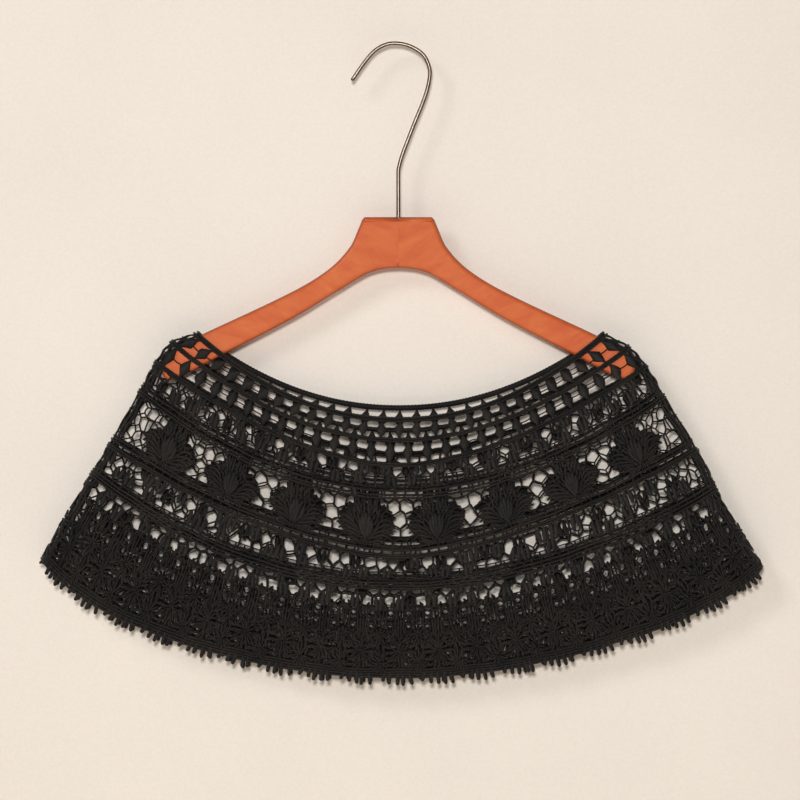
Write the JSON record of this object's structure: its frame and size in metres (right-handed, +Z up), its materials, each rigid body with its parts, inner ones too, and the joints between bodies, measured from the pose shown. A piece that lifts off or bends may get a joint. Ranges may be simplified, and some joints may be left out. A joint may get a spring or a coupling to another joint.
{
  "type": "lace shawl on a wooden hanger",
  "caption": "Black guipure lace shoulder shawl, a closed ring with picot hem, hung flat on a flat wooden clothes hanger with a wire hook.",
  "frame": {"origin": "on the inside of the hook's crown, where the hanger rests on its rod", "axes": "+X to the right along the hanger, +Z up, -Y out of the shawl's front"},
  "size_m": [0.6512, 0.0284, 0.5802],
  "materials": {
    "lace": "matt black cotton lace",
    "band": "matt black two-cord band",
    "wood": "satin orange-brown lacquer",
    "steel": "drawn steel wire"
  },
  "bodies": {
    "root": {"shawl_front": "lace", "shawl_back": "lace", "neck_band_front": "band", "neck_band_back": "band", "hanger_left": "wood", "hanger_right": "wood", "hanger_hook": "steel"}
  },
  "joints": []
}
